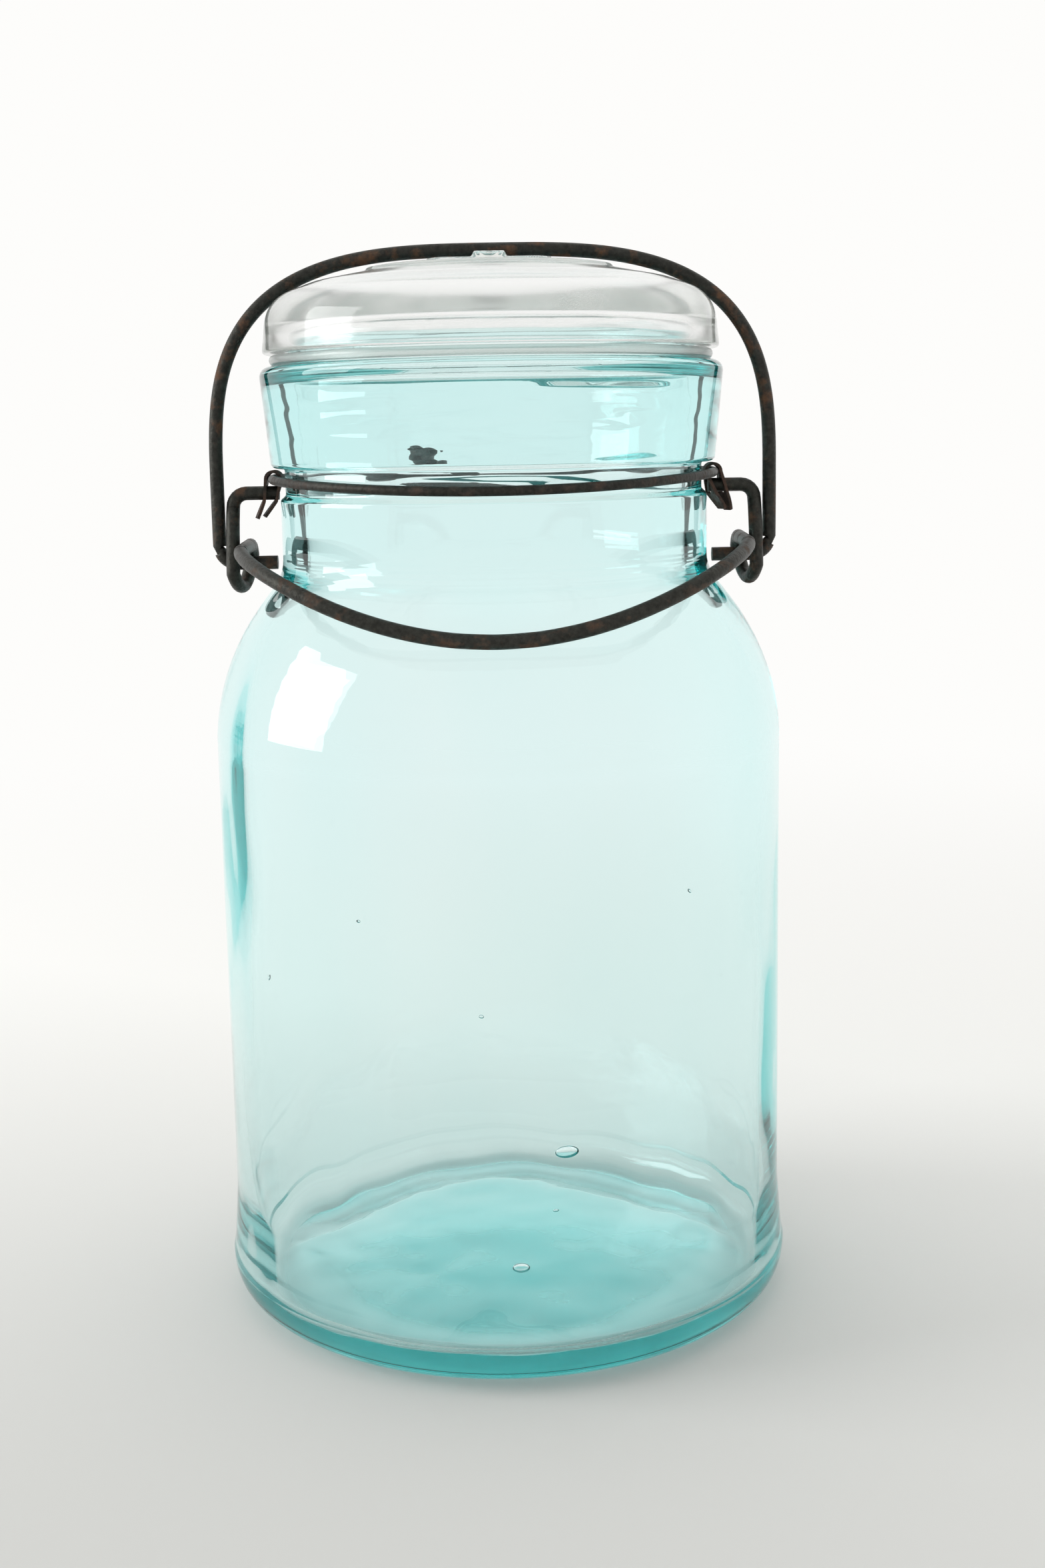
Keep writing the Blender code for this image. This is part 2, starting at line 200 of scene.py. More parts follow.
def rounded(corners, closed=False, step=math.radians(8)):
    """Outline through corners (x, y, radius of the rounding)."""
    points = []
    for i, (x, y, radius) in enumerate(corners):
        corner = Vector((x, y))
        at_end = i in (0, len(corners) - 1) and not closed
        if radius == 0 or at_end:
            points.append(corner)
            continue
        before = (Vector(corners[i - 1][:2]) - corner).normalized()
        after = (Vector(corners[(i + 1) % len(corners)][:2]) - corner).normalized()
        half = before.angle(after) / 2
        centre = corner + (before + after).normalized() * radius / math.sin(half)
        first = corner + before * radius / math.tan(half) - centre
        last = corner + after * radius / math.tan(half) - centre
        turn = first.angle_signed(last)
        count = max(1, math.ceil(abs(turn) / step - 0.01))
        for k in range(count + 1):
            points.append(centre + Matrix.Rotation(-turn * k / count, 2) @ first)
    return [(p[0], p[1]) for p in points]


def spaced(points, spacing):
    """The same outline with long straight runs cut into shorter ones."""
    dense = [points[0]]
    for a, b in zip(points, points[1:]):
        count = max(1, math.ceil(math.dist(a, b) / spacing))
        for k in range(1, count + 1):
            dense.append((a[0] + (b[0] - a[0]) * k / count, a[1] + (b[1] - a[1]) * k / count))
    return dense


def link(name, mesh, material, body, *nodes):
    """A visible piece in the scene, riding on a body in place of the frame's nodes."""
    obj = bpy.data.objects.new(name, mesh)
    bpy.context.collection.objects.link(obj)
    mesh.materials.append(material)
    if hasattr(mesh, "shade_smooth"):
        mesh.shade_smooth()
    if body:
        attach(obj, body)
        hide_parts(*nodes)
    return obj


def turned_mesh(name, outline, segments, ripple=None):
    """Closed surface of revolution from (radius, height) points in millimetres.

    ripple(places, normals) returns how far each point moves along its normal.
    """
    outline = np.array(outline)
    ahead = np.gradient(outline, axis=0)
    normal_2d = np.stack([ahead[:, 1], -ahead[:, 0]], 1)
    normal_2d /= np.maximum(np.linalg.norm(normal_2d, axis=1, keepdims=True), 1e-9)
    angles = np.linspace(0, 2 * math.pi, segments, endpoint=False)
    cos, sin = np.cos(angles), np.sin(angles)
    places, normals, rings = [], [], []
    start = 0
    for (radius, height), (nr, nz) in zip(outline, normal_2d):
        if radius < 1e-6:
            places.append(np.array([[0.0, 0.0, height]]))
            normals.append(np.array([[0.0, 0.0, math.copysign(1.0, nz)]]))
            rings.append([start])
            start += 1
            continue
        places.append(np.stack([radius * cos, radius * sin, np.full(segments, height)], 1))
        normals.append(np.stack([nr * cos, nr * sin, np.full(segments, nz)], 1))
        rings.append(list(range(start, start + segments)))
        start += segments
    places, normals = np.concatenate(places), np.concatenate(normals)
    if ripple is not None:
        places = places + normals * ripple(places, normals)[:, None]
    faces = []
    pairs = list(zip(rings, rings[1:]))
    if len(rings[0]) > 1:
        pairs.append((rings[-1], rings[0]))
    for low, high in pairs:
        for i in range(segments):
            j = (i + 1) % segments
            corners = [low[i % len(low)], low[j % len(low)], high[j % len(high)], high[i % len(high)]]
            faces.append(tuple(dict.fromkeys(corners)))
    mesh = bpy.data.meshes.new(name)
    mesh.from_pydata((places * MM).tolist(), [], faces)
    mesh.update()
    return mesh


def waves(places, size, seed):
    """Smooth noise, about -1 to 1, with bumps of a size in millimetres."""
    shift = Vector((seed * 17.3, seed * -9.1, seed * 5.7))
    return np.array([noise.noise(Vector(p) / size + shift) for p in places.tolist()])


def wire(name, path, radius, material, body, *nodes):
    """Smooth round wire along points in millimetres."""
    curve = bpy.data.curves.new(name, "CURVE")
    curve.dimensions = "3D"
    curve.bevel_depth = radius * MM
    curve.bevel_resolution = 6
    curve.use_fill_caps = True
    spline = curve.splines.new("POLY")
    spline.points.add(len(path) - 1)
    for point, place in zip(spline.points, path):
        point.co = (place[0] * MM, place[1] * MM, place[2] * MM, 1.0)
    spline.use_smooth = True
    return link(name, curve, material, body, *nodes)


def smooth_path(points, spacing=0.7):
    """Points along a smooth curve through the given ones (Catmull-Rom)."""
    pts = [Vector(p) for p in points]
    padded = [pts[0] * 2 - pts[1], *pts, pts[-1] * 2 - pts[-2]]
    result = [pts[0]]
    for a, b, c, d in zip(padded, padded[1:], padded[2:], padded[3:]):
        count = max(1, math.ceil((c - b).length / spacing))
        for k in range(1, count + 1):
            t = k / count
            result.append(0.5 * ((2 * b) + (c - a) * t + (2 * a - 5 * b + 4 * c - d) * t * t
                                 + (3 * b - a - 3 * c + d) * t ** 3))
    return [tuple(p) for p in result]


# ---------------------------------------------------------------- materials

def mapped(tree, source, start, end, low=0.0, high=1.0, kind="LINEAR"):
    """A value mapped from start..end to low..high, and held at low or high outside them."""
    node = tree.nodes.new("ShaderNodeMapRange")
    node.interpolation_type = kind
    for socket, value in (("From Min", start), ("From Max", end), ("To Min", low), ("To Max", high)):
        node.inputs[socket].default_value = value
    tree.links.new(source, node.inputs["Value"])
    return node.outputs["Result"]


class Nodes:
    """Short way to build the node tree of a material, named after the record's slot."""

    def __init__(self, name):
        self.material = bpy.data.materials.new(name + "_look")
        self.material["slot"] = name
        self.material.use_nodes = True
        self.tree = self.material.node_tree
        self.shader = self.tree.nodes["Principled BSDF"]
        self.output = self.tree.nodes["Material Output"]

    def add(self, kind, settings=None, **values):
        node = self.tree.nodes.new(kind)
        for key, value in (settings or {}).items():
            setattr(node, key, value)
        for key, value in values.items():
            node.inputs[key.replace("_", " ")].default_value = value
        return node

    def join(self, source, target):
        self.tree.links.new(source, target)

    def surface(self, **values):
        """Plain values of the surface shader, by socket name with _ for a space."""
        for key, value in values.items():
            self.shader.inputs[key.replace("_", " ")].default_value = value

    def place(self):
        return self.add("ShaderNodeTexCoord").outputs["Object"]

    def split(self, vector):
        node = self.add("ShaderNodeSeparateXYZ")
        self.join(vector, node.inputs["Vector"])
        return node.outputs

    def distance(self):
        """Distance from the middle of the jar's foot."""
        node = self.add("ShaderNodeVectorMath", {"operation": "LENGTH"})
        self.join(self.place(), node.inputs[0])
        return node.outputs["Value"]

    def noise(self, scale, detail=4.0, roughness=0.5):
        node = self.add("ShaderNodeTexNoise", Scale=scale, Detail=detail, Roughness=roughness)
        self.join(self.place(), node.inputs["Vector"])
        return node.outputs["Fac"]

    def ramp(self, source, stops):
        node = self.add("ShaderNodeValToRGB")
        elements = node.color_ramp.elements
        while len(elements) < len(stops):
            elements.new(0.5)
        for element, (position, colour) in zip(elements, stops):
            element.position = position
            element.color = (*colour, 1.0) if len(colour) == 3 else colour
        self.join(source, node.inputs["Fac"])
        return node.outputs["Color"]

    def bump(self, height, strength, distance):
        node = self.add("ShaderNodeBump", Strength=strength, Distance=distance)
        self.join(height, node.inputs["Height"])
        self.join(node.outputs["Normal"], self.shader.inputs["Normal"])


def glass_material(name, absorbs, roughness):
    """Clear glass that takes off colour with depth: absorbs is per metre, for red, green and blue."""
    nodes = Nodes(name)
    nodes.surface(Base_Color=(1.0, 1.0, 1.0, 1.0), Roughness=roughness, IOR=1.5, Transmission_Weight=1.0)
    density = max(absorbs)
    colour = (*[1 - a / density for a in absorbs], 1.0)
    depth = nodes.add("ShaderNodeVolumeAbsorption", Density=density, Color=colour)
    nodes.join(depth.outputs["Volume"], nodes.output.inputs["Volume"])
    return nodes


def frost_underside(nodes):
    """Dull glass on the lowest faces, inside the ring that the jar stands on."""
    low = mapped(nodes.tree, nodes.split(nodes.place())["Z"], 3.0 * MM, 2.5 * MM)
    middle = mapped(nodes.tree, nodes.distance(), FROSTED_R * MM, (FROSTED_R - 2.0) * MM, 0.0, BASE_FROST)
    both = nodes.add("ShaderNodeMath", {"operation": "MULTIPLY"})
    nodes.join(low, both.inputs[0])
    nodes.join(middle, both.inputs[1])
    nodes.join(both.outputs["Value"], nodes.shader.inputs["Roughness"])


def steel_material(name, metal, rust, rusted_share):
    """Old steel: dark oxide with rough rust patches."""
    nodes = Nodes(name)
    patches = nodes.noise(260.0, 6.0, 0.62)
    low = 0.62 - 0.28 * rusted_share
    mask = nodes.ramp(patches, [(low, (0, 0, 0)), (low + 0.14, (1, 1, 1))])
    grain = nodes.noise(1100.0, 5.0, 0.65)
    metal_colour = nodes.ramp(grain, [(0.32, tuple(c * 0.45 for c in metal)), (0.68, metal)])
    rust_colour = nodes.ramp(grain, [(0.3, tuple(c * 0.5 for c in rust)), (0.72, rust)])
    mix = nodes.add("ShaderNodeMix", {"data_type": "RGBA"})
    nodes.join(mask, mix.inputs["Factor"])
    nodes.join(metal_colour, mix.inputs[6])
    nodes.join(rust_colour, mix.inputs[7])
    nodes.join(mix.outputs[2], nodes.shader.inputs["Base Color"])
    nodes.join(mapped(nodes.tree, mask, 0.0, 1.0, 0.42, 0.85), nodes.shader.inputs["Roughness"])
    nodes.join(mapped(nodes.tree, mask, 0.0, 1.0, 0.75, 0.0), nodes.shader.inputs["Metallic"])
    nodes.bump(grain, 0.6, 0.0003)
    return nodes.material


def ring_material():
    """Pale translucent rubber."""
    nodes = Nodes("ring_rubber")
    nodes.surface(Base_Color=(0.95, 0.97, 0.95, 1.0), Roughness=0.25, Transmission_Weight=0.85)
    return nodes.material


# ---------------------------------------------------------------- the object

def jar_outline():
    """Outline from the middle of the underside, up the outside, over the lip and down the inside."""
    shoulder = (BODY_R - SHOULDER_BEND, BODY_TOP)
    slope = math.tan(math.pi / 2 - SHOULDER_TURN)
    outer = arc(shoulder, SHOULDER_BEND, 0, SHOULDER_TURN)
    inner = arc(shoulder, SHOULDER_BEND - WALL, SHOULDER_TURN, 0)
    neck_foot = outer[-1][1] + (outer[-1][0] - NECK_R) * slope
    bore = NECK_R - WALL - 1.0
    bore_foot = inner[0][1] + (inner[0][0] - bore) * slope
    heel = rounded([
        (0, UNDERSIDE_Z, 0),
        (UNDERSIDE_R, UNDERSIDE_Z, 12.0),
        (FOOT_R, 0.0, 1.5),
        (HEEL_R, 0.0, HEEL_BEND),
        (HEEL_R, HEEL_BEND + 0.8, 0.6),
        (HEEL_R - 0.3, HEEL_BEND + 1.8, 1.5),
        (BODY_R, HEEL_END_Z, 0),
    ])
    finish = rounded([
        (*outer[-1], 0),
        (NECK_R, neck_foot, 8.0),
        (NECK_R, GROOVE_FOOT_Z, 0.8),
        (GROOVE_R, GROOVE_FOOT_Z + 0.9, 0.6),
        (GROOVE_R, COLLAR_FOOT_Z, 0.6),
        (COLLAR_FOOT_R, COLLAR_FOOT_Z, 0.9),
        (COLLAR_TOP_R, LEDGE_Z, 1.8),
        (LIP_R, LEDGE_Z, 0.5),
        (LIP_R, JAR_TOP, 1.5),
        (MOUTH_R, JAR_TOP, 1.5),
        (MOUTH_R, LEDGE_Z + 0.5, 1.5),
        (MOUTH_R + 2.2, LEDGE_Z - 2.5, 1.5),
        (bore, COLLAR_FOOT_Z - 1.0, 25.0),
        (bore, bore_foot, 9.0),
        (*inner[0], 0),
    ])
    inside = rounded([(*inner[-1], 0), (BODY_R - WALL, FLOOR_Z, FLOOR_BEND), (0, FLOOR_Z, 0)])
    fine = spaced(finish, GLASS_SPACING / 2)
    return spaced(heel + outer[1:-1] + fine + inner[1:-1] + inside, GLASS_SPACING)


def base_swell(places):
    """Extra thickness of the base: a mound that ends at a crooked ridge behind the middle."""
    x, y = places[:, 0], places[:, 1]
    ridge = SWELL_BACK - 28.0 * (np.abs(x) / 45.0) ** 2.2
    ridge += 3.0 * waves(places * (1, 1, 0), 11.0, 6) + 1.2 * waves(places * (1, 1, 0), 3.5, 8)
    mound = np.clip((BODY_R - WALL - np.hypot(x, y)) / 44.0, 0, 1)
    mound = np.sin(mound * math.pi / 2) ** 0.9
    return SWELL_HEIGHT * mound / (1 + np.exp((y - ridge) / SWELL_EDGE))


def jar_ripple(places, normals):
    """The mould leaves the outside nearly true; the blown inside is wavy.

    Above the neck's groove the inside also has fine streaks running round it, left by tooling.
    """
    radius = np.hypot(places[:, 0], places[:, 1])
    inward = (places[:, 0] * normals[:, 0] + places[:, 1] * normals[:, 1]) < -1e-6
    inside = inward & (radius < BODY_R - 1.0) & (places[:, 2] > 4.0) & (places[:, 2] < LEDGE_Z - 4)
    floor = (normals[:, 2] > 0.5) & (places[:, 2] < FLOOR_Z + 3)
    upright = places * (1.0, 1.0, 0.4)
    blown = 0.5 * waves(upright, 20.0, 31) + 0.16 * waves(upright, 8.0, 32)
    blown *= np.clip((LEDGE_Z - 20 - places[:, 2]) / 40, 0.35, 1)
    tooled = 0.06 * waves(places * (0.12, 0.12, 1.0), 1.6, 9)
    blown = np.where(places[:, 2] > GROOVE_FOOT_Z, blown + tooled, blown)
    moulded = -0.03 * np.abs(waves(places, 18.0, 3))
    pool = 0.6 * waves(places, 17.0, 4) + 0.2 * waves(places, 6.0, 5) + base_swell(places)
    sag_end = FOOT_R - 1.0
    underside = (normals[:, 2] < -0.9) & (radius < sag_end)
    sag = 0.1 * waves(places, 8.0, 7) * np.clip((sag_end - radius) / 3, 0, 1)
    return np.where(underside, sag, np.where(floor, pool, np.where(inside, blown, moulded)))


def add_bubbles(mesh):
    """Hollow flat bubbles in the glass of the wall."""
    bm = bmesh.new()
    bm.from_mesh(mesh)
    for angle, height, width, tall, deep in BUBBLES:
        turn = Matrix.Rotation(math.radians(angle), 4, "Z")
        size = Matrix.Diagonal((deep * MM, width * MM, tall * MM, 1.0))
        place = turn @ Matrix.Translation(((BODY_R - WALL / 2) * MM, 0, height * MM)) @ size
        made = bmesh.ops.create_icosphere(bm, subdivisions=3, radius=0.5, matrix=place)
        faces = {face for vert in made["verts"] for face in vert.link_faces}
        bmesh.ops.reverse_faces(bm, faces=list(faces))
        for face in faces:
            face.smooth = True
    bm.to_mesh(mesh)
    bm.free()


def jar(material):
    """The jar's glass in one piece, with its wavy inside and its bubbles."""
    mesh = turned_mesh("jar_glass", jar_outline(), GLASS_SEGMENTS, jar_ripple)
    add_bubbles(mesh)
    return link("jar_glass", mesh, material, "jar", "jar_body")


def raised(places, middle, size, rounding, edge):
    """1 inside a rounded rectangle seen from above, falling to 0 at its outline."""
    half = np.array(size) / 2 - rounding
    away = np.abs(places[:, :2] - middle) - half
    distance = np.linalg.norm(np.maximum(away, 0), axis=1) + np.minimum(away.max(1), 0) - rounding
    share = np.clip(-distance / edge, 0, 1)
    return share * share * (3 - 2 * share)


def lid_relief(places, normals):
    """Bar on top of the lid with a bump on each side of the bail, and slightly uneven glass."""
    on_top = (normals[:, 2] > 0.9) & (np.hypot(places[:, 0], places[:, 1]) < PLATEAU_R - 0.2)
    lift = raised(places, (0, 0), BAR_SIZE, 4.5, 0.9) * (BAR_TOP - places[:, 2])
    for side in (-1, 1):
        lift += raised(places, (0, side * BUMP_Y), BUMP_SIZE, 1.2, 0.8) * (LID_BUMP_TOP - BAR_TOP)
    uneven = 0.05 * (waves(places, 9.0, 11) - 1) * (places[:, 2] > LID_LOW + 2)
    return np.where(on_top, lift, uneven)


def lid(material):
    """Domed glass lid, hollow below, with a raised disc, a bar and two bumps on top."""
    outside = rounded([
        (HOLLOW_R, LID_LOW, 0.5),
        (LID_R, LID_LOW, 0.5),
        (LID_R - 0.8, LID_LOW + 8.8, 6.5),
        (PLATEAU_R + 10.0, LID_LOW + 11.6, 15.0),
        (PLATEAU_R + 0.6, LID_LOW + 13.5, 0.4),
        (PLATEAU_R, PLATEAU_Z, 0.3),
        (0, PLATEAU_Z + 0.2, 0),
    ])
    hollow = rounded([
        (0, LID_LOW + 9.4, 0),
        (26.0, LID_LOW + 8.6, 12.0),
        (HOLLOW_R - 1.0, LID_LOW + 4.2, 2.0),
        (HOLLOW_R, LID_LOW, 0.5),
        (LID_R, LID_LOW, 0.5),
    ])
    outline = spaced(hollow[:-1] + outside[1:-1], GLASS_SPACING) + spaced(outside[-2:], 0.35)[1:]
    mesh = turned_mesh("lid_glass", outline, GLASS_SEGMENTS, lid_relief)
    return link("lid_glass", mesh, material, "jar", "lid")


def sealing_ring(material):
    """Flat ring between the lid's rim and the jar's ledge."""
    inner = LIP_R + 0.4
    middle = (RING_LOW + RING_HIGH) / 2
    outline = rounded([
        (inner, RING_LOW, 0.2),
        (RING_R - 0.3, RING_LOW, 0.4),
        (RING_R, middle, 0.6),
        (RING_R - 0.3, RING_HIGH, 0.4),
        (inner, RING_HIGH, 0.2),
    ], True)
    mesh = turned_mesh("ring_seal", outline, GLASS_SEGMENTS)
    return link("ring_seal", mesh, material, "jar", "sealing_ring")


def neck_wire_height(angle):
    """The neck wire is pulled up at its two sides by the clips."""
    return NECK_WIRE_FRONT_Z + (NECK_WIRE_SIDE_Z - NECK_WIRE_FRONT_Z) * math.cos(angle) ** 2


def neck_wire(material):
    """Wire round the neck, its two ends twisted together along the back."""
    strand = NECK_WIRE_R + 0.12
    twist_start = math.radians(94)
    twist_span = TWIST_LENGTH / NECK_WIRE_PATH_R
    ring_start = math.radians(80)
    ring_span = math.radians(340)

    def twisted(offset_angle, share):
        spin = offset_angle + 2 * math.pi * TWIST_TURNS * share
        angle = twist_start + twist_span * share
        radius = NECK_WIRE_PATH_R + TWIST_OFFSET + strand * math.cos(spin)
        height = NECK_WIRE_FRONT_Z + TWIST_RISE * share + strand * math.sin(spin)
        return radius * math.cos(angle), radius * math.sin(angle), height

    first = [twisted(0.0, 1 - i / 40) for i in range(41)]
    second = [twisted(math.pi, i / 40) for i in range(41)]
    ring = []
    for i in range(121):
        angle = ring_start - ring_span * i / 120
        ring.append((NECK_WIRE_PATH_R * math.cos(angle), NECK_WIRE_PATH_R * math.sin(angle),
                     neck_wire_height(angle)))
    wire("neck_wire_bent", smooth_path(first + ring + second), NECK_WIRE_R, material, "jar", "neck_wire")


def lever_side(side):
    """Path of one side of the lever: pivot end, leg, and the eye round the bail's pin."""
    corner = (LEG_X - PIVOT_BEND, PIVOT_Z - PIVOT_BEND)
    path = [(PIVOT_END_X, 0, PIVOT_Z)]
    path += [(x, 0, z) for x, z in arc(corner, PIVOT_BEND, math.pi / 2, 0, math.radians(15))]
    path.append((LEG_X, -1.6, PIVOT_Z - 5.6))
    first, last = math.radians(200), math.radians(440)
    for i in range(31):
        share = i / 30
        angle = first + (last - first) * share
        reach = EYE_R + 0.3 * max(0.0, -math.cos(angle))
        x = LEG_X + (ARM_X - LEG_X) * min(1.0, 1.25 * share)
        path.append((x, reach * math.cos(angle), EYE_Z + EYE_R * math.sin(angle)))
    return [(side * x, y, z) for x, y, z in path]


def lever_handle():
    """A loop that hangs round the front of the neck: squarish from above, drooping to the middle."""
    points = []
    power = 2 / HANDLE_SQUARENESS
    low_angle = math.radians(12)
    for i in range(73):
        angle = low_angle + (math.pi - 2 * low_angle) * i / 72
        sideways = math.copysign(abs(math.cos(angle)) ** power, math.cos(angle))
        forward = math.sin(angle) ** power
        drop = HANDLE_DROP * (1 - sideways ** 2) ** HANDLE_DROOP
        points.append((-ARM_X * sideways, -HANDLE_REACH * forward, EYE_Z + EYE_R - drop))
    return points


def lever(material):
    """One bent wire: both sides with the handle between them."""
    path = lever_side(-1) + lever_handle() + lever_side(1)[::-1]
    wire("lever_bent", smooth_path(path), WIRE_R, material, "lever", "lever_wire")


def bail(material):
    """One bent wire: a hoop over the lid, each end hooked inward through an eye of the lever."""
    hook = arc((BAIL_X - HOOK_BEND, PIN_Z + HOOK_BEND), HOOK_BEND, -math.pi / 2, 0, math.radians(15))
    right = [(PIN_END_X, PIN_Z), *hook]
    power = 2 / BAIL_SQUARENESS
    hoop = []
    for i in range(73):
        angle = math.pi * i / 72
        x = BAIL_X * math.copysign(abs(math.cos(angle)) ** power, math.cos(angle))
        hoop.append((x, BAIL_WIDEST_Z + (BAIL_TOP_Z - BAIL_WIDEST_Z) * math.sin(angle) ** power))
    left = [(-x, z) for x, z in right[::-1]]
    path = [(x, 0, z) for x, z in right + hoop + left]
    wire("bail_bent", smooth_path(path), WIRE_R, material, "bail", "bail_wire")


def clip_line():
    """Side view (x, z) of the strip, from the inner leg's tip over the wire to the outer leg's tip."""
    x, z = NECK_WIRE_PATH_R, NECK_WIRE_SIDE_Z
    over = arc((x, z), CLIP_FOLD_R, math.pi, 0, math.radians(12))
    inner_leg = [(x + 1.9, CLIP_TIP_Z + 0.3), (x - 0.2, CLIP_NARROW_Z)]
    outer_leg = [(x + 1.9, CLIP_NARROW_Z), (x + 3.2, CLIP_TIP_Z)]
    return spaced([*inner_leg, *over, *outer_leg], 0.5)


def clip_mesh(name, side, twist):
    """The strip's sheet, narrowing towards its tips, with its legs twisted about their own middle."""
    line = clip_line()
    middle = Vector((NECK_WIRE_PATH_R + 1.2, 0, 0))
    cells_across = 8
    bm = bmesh.new()
    stations = []
    for i, (x, z) in enumerate(line):
        ahead = Vector(line[min(i + 1, len(line) - 1)]) - Vector(line[max(i - 1, 0)])
        normal = Vector((-ahead.y, ahead.x)).normalized() * SHEET / 2
        narrow = max(0.0, (CLIP_NARROW_Z - z) / (CLIP_NARROW_Z - CLIP_TIP_Z))
        half = CLIP_HALF_WIDTH + (CLIP_TIP_HALF_WIDTH - CLIP_HALF_WIDTH) * narrow
        down = max(0.0, (NECK_WIRE_SIDE_Z - z) / (NECK_WIRE_SIDE_Z - CLIP_TIP_Z))
        turn = Matrix.Rotation(twist * down, 3, "Z")
        across = [(-half + 2 * half * k / cells_across, 1) for k in range(cells_across + 1)]
        across += [(y, -1) for y, _ in across[::-1]]
        loop = []
        for y, face in across:
            place = turn @ (Vector((x + face * normal.x, y, z + face * normal.y)) - middle) + middle
            loop.append(bm.verts.new((place.x * side * MM, place.y * MM, place.z * MM)))
        stations.append(loop)
    count = len(stations[0])
    for low, high in zip(stations, stations[1:]):
        for k in range(count):
            bm.faces.new((low[k], low[(k + 1) % count], high[(k + 1) % count], high[k]))
    bm.faces.new(stations[0])
    bm.faces.new(stations[-1])
    bmesh.ops.recalc_face_normals(bm, faces=bm.faces)
    mesh = bpy.data.meshes.new(name)
    bm.to_mesh(mesh)
    bm.free()
    return mesh


def drill_clip(obj, side):
    """Hole through both legs for the lever's pivot end."""
    place = (side * NECK_WIRE_PATH_R * MM, 0, PIVOT_Z * MM)
    bpy.ops.mesh.primitive_cylinder_add(vertices=32, radius=CLIP_HOLE_R * MM, depth=20 * MM,
                                        location=place, rotation=(0, math.pi / 2, 0))
    cutter = bpy.context.object
    hole = obj.modifiers.new("hole", "BOOLEAN")
    hole.operation = "DIFFERENCE"
    hole.object = cutter
    bpy.context.view_layer.objects.active = obj
    bpy.ops.object.modifier_apply(modifier=hole.name)
    bpy.data.objects.remove(cutter)


def clip(name, node, side, twist, material):
    """Sheet strip folded over the neck wire; its two legs carry the lever's pivot end."""
    obj = link(name, clip_mesh(name, side, twist), material, None)
    drill_clip(obj, side)
    obj.data.set_sharp_from_angle(angle=math.radians(40))
    edge = obj.modifiers.new("worn_edge", "BEVEL")
    edge.width = 0.08 * MM
    edge.segments = 2
    edge.limit_method = "ANGLE"
    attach(obj, "jar")
    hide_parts(node)


# ---------------------------------------------------------------- camera and studio

def room_shade(tree, heading_y):
    """Brightness of the surroundings, which get darker towards -Y."""
    return mapped(tree, heading_y, -0.8, 0.5, ROOM_SHADE, 1.0, "SMOOTHSTEP")


def floor_material():
    """Pale paper with painted shade, darker towards the viewer, and a painted glow below the jar; far
    away it glows in the backdrop's tone.
    """
    nodes = Nodes("floor_paper")
    tree = nodes.tree
    nodes.surface(Roughness=0.9, Specular_IOR_Level=0.2, Emission_Color=(*PAINTED_GLOW_COLOUR, 1.0))

    place = nodes.split(nodes.place())
    slant = nodes.add("ShaderNodeMath", {"operation": "MULTIPLY_ADD"})
    slant.inputs[1].default_value = FLOOR_SLANT
    nodes.join(place["X"], slant.inputs[0])
    nodes.join(place["Y"], slant.inputs[2])
    # painted shade: the paper's colour darkens towards the viewer and slightly to the left
    near = mapped(tree, slant.outputs["Value"], FLOOR_NEAR_Y, FLOOR_FAR_Y)
    shade = nodes.ramp(near, [(0.0, FLOOR_NEAR_SHADED), (1.0, FLOOR_FAR_LIT)])
    nodes.join(shade, nodes.shader.inputs["Base Color"])
    # painted light: the floor glows below the jar, in place of light gathered through the glass
    painted_glow = mapped(tree, nodes.distance(), GLOW_OUTER, GLOW_INNER, 0.0, PAINTED_GLOW_UNDER_JAR, "SMOOTHSTEP")
    nodes.join(painted_glow, nodes.shader.inputs["Emission Strength"])

    heading = nodes.add("ShaderNodeVectorMath", {"operation": "NORMALIZE"})
    nodes.join(nodes.place(), heading.inputs[0])
    heading_y = nodes.split(heading.outputs["Vector"])["Y"]
    backdrop = nodes.add("ShaderNodeEmission", Color=(*BACKDROP, 1.0))
    nodes.join(room_shade(tree, heading_y), backdrop.inputs["Strength"])
    mix = nodes.add("ShaderNodeMixShader")
    far = mapped(tree, nodes.distance(), FADE_START, FADE_END, kind="SMOOTHSTEP")
    nodes.join(far, mix.inputs["Fac"])
    nodes.join(nodes.shader.outputs["BSDF"], mix.inputs[1])
    nodes.join(backdrop.outputs["Emission"], mix.inputs[2])
    nodes.join(mix.outputs["Shader"], nodes.output.inputs["Surface"])
    return nodes.material


def surroundings():
    """Plain background, and soft light all round."""
    world = bpy.data.worlds.new("studio_world")
    world.use_nodes = True
    tree = world.node_tree
    heading = tree.nodes.new("ShaderNodeSeparateXYZ")
    tree.links.new(tree.nodes.new("ShaderNodeTexCoord").outputs["Generated"], heading.inputs["Vector"])
    background = tree.nodes["Background"]
    background.inputs["Color"].default_value = (*BACKDROP, 1.0)
    tree.links.new(room_shade(tree, heading.outputs["Y"]), background.inputs["Strength"])
    bpy.context.scene.world = world


def studio_floor():
    """Round floor that fades into the background."""
    bm = bmesh.new()
    bmesh.ops.create_circle(bm, cap_ends=True, radius=FLOOR_RADIUS, segments=64)
    mesh = bpy.data.meshes.new("studio_floor")
    bm.to_mesh(mesh)
    bm.free()
    floor = bpy.data.objects.new("studio_floor", mesh)
    bpy.context.collection.objects.link(floor)
    floor.location.z = FLOOR_DROP
    mesh.materials.append(floor_material())
    return floor


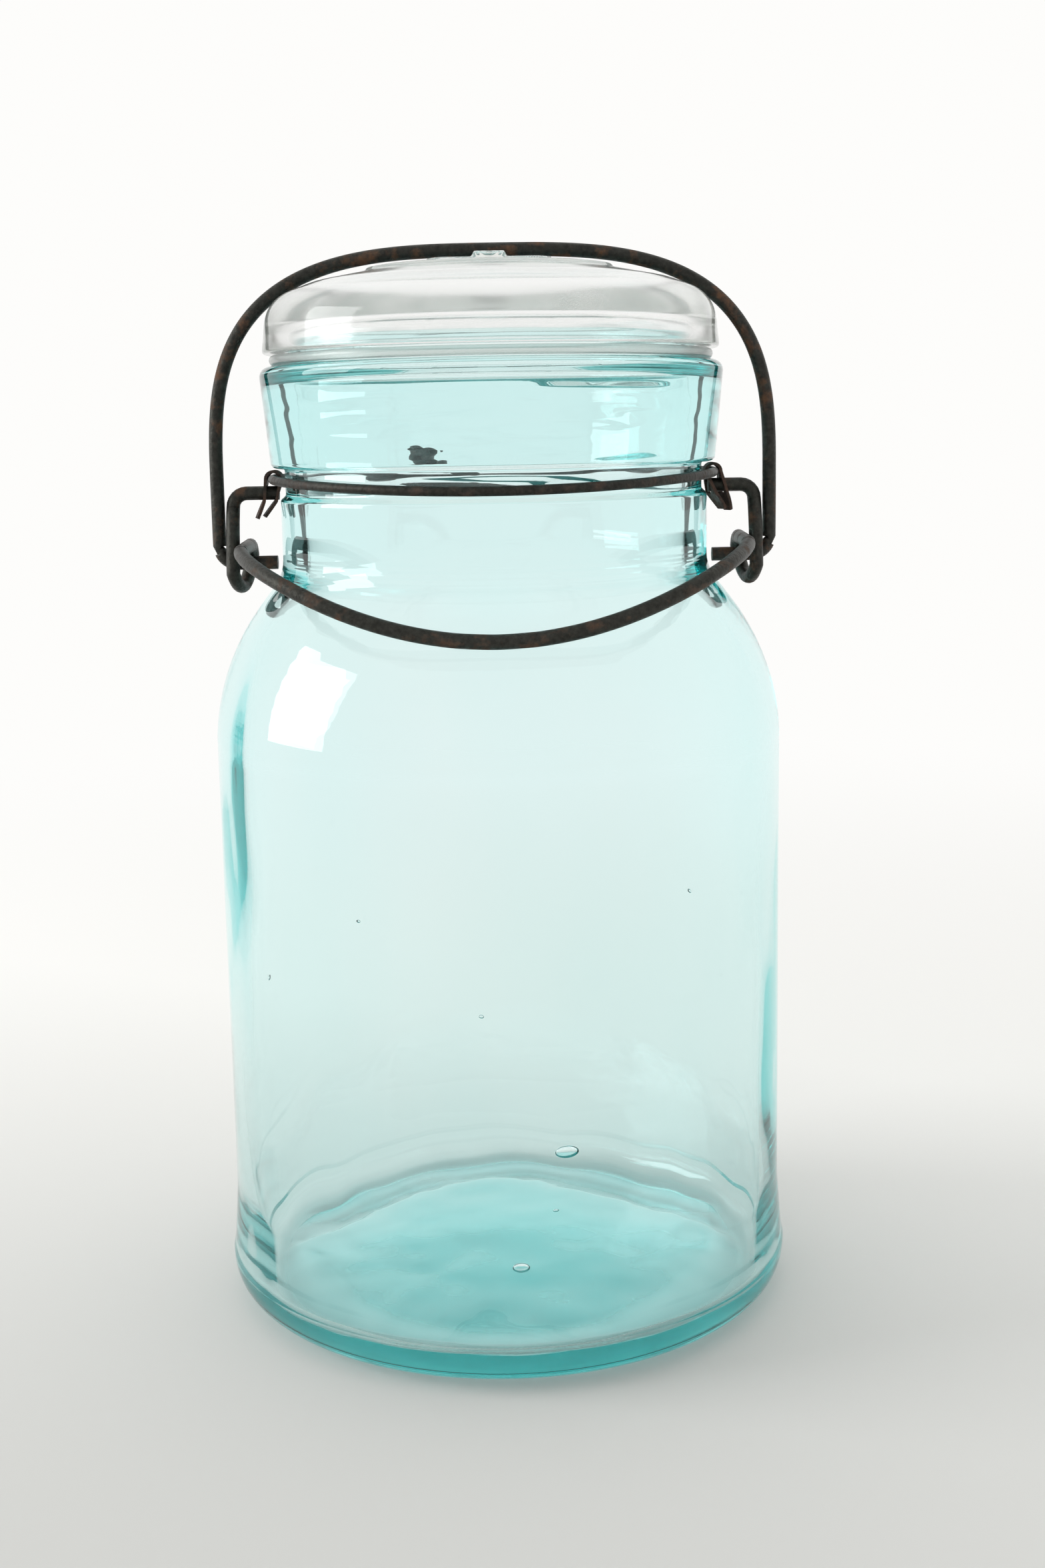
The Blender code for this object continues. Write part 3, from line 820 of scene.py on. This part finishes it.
def softbox():
    """Big square light on the left."""
    light = bpy.data.lights.new("softbox", "AREA")
    light.shape = "RECTANGLE"
    light.size = SOFTBOX_SIZE
    light.size_y = SOFTBOX_SIZE
    light.energy = SOFTBOX_ENERGY
    lamp = bpy.data.objects.new("softbox", light)
    bpy.context.collection.objects.link(lamp)
    lamp.location = SOFTBOX_PLACE
    lamp.rotation_euler = (SOFTBOX_TARGET - lamp.location).to_track_quat("-Z", "Y").to_euler()
    return lamp


def camera():
    """Camera in front of the jar and a little above its middle."""
    data = bpy.data.cameras.new("camera")
    data.lens = CAMERA_LENS
    data.clip_start = 0.01
    obj = bpy.data.objects.new("camera", data)
    bpy.context.collection.objects.link(obj)
    turn = (Matrix.Rotation(-CAMERA_YAW, 4, "Z") @ Matrix.Rotation(math.pi / 2 - CAMERA_PITCH, 4, "X")
            @ Matrix.Rotation(CAMERA_ROLL, 4, "Z"))
    obj.matrix_world = Matrix.Translation(CAMERA_PLACE) @ turn
    bpy.context.scene.camera = obj


def light_paths():
    """Enough bounces for thick glass, and plain colours."""
    scene = bpy.context.scene
    scene.view_settings.view_transform = "Standard"
    scene.cycles.max_bounces = GLASS_BOUNCES
    scene.cycles.glossy_bounces = GLASS_BOUNCES
    scene.cycles.transmission_bounces = GLASS_BOUNCES


def main():
    light_paths()
    aqua = glass_material("aqua_glass", AQUA_ABSORBS, 0.0)
    frost_underside(aqua)
    jar(aqua.material)
    lid(glass_material("clear_glass", CLEAR_ABSORBS, CLEAR_HAZE).material)
    neck_wire(steel_material("rusty_steel", NECK_WIRE_STEEL, NECK_WIRE_RUST, 0.35))
    rusty_steel = steel_material("rusty_steel", CLIP_STEEL, CLIP_RUST, 0.7)
    clip("clip_left_folded", "left_clip", -1, LEFT_CLIP_TWIST, rusty_steel)
    clip("clip_right_folded", "right_clip", 1, RIGHT_CLIP_TWIST, rusty_steel)
    lever(steel_material("dark_steel", LEVER_STEEL, LEVER_RUST, 0.28))
    bail(steel_material("dark_steel", BAIL_STEEL, BAIL_RUST, 0.38))
    sealing_ring(ring_material())
    surroundings()
    floor = studio_floor()
    lamp = softbox()
    camera()


main()
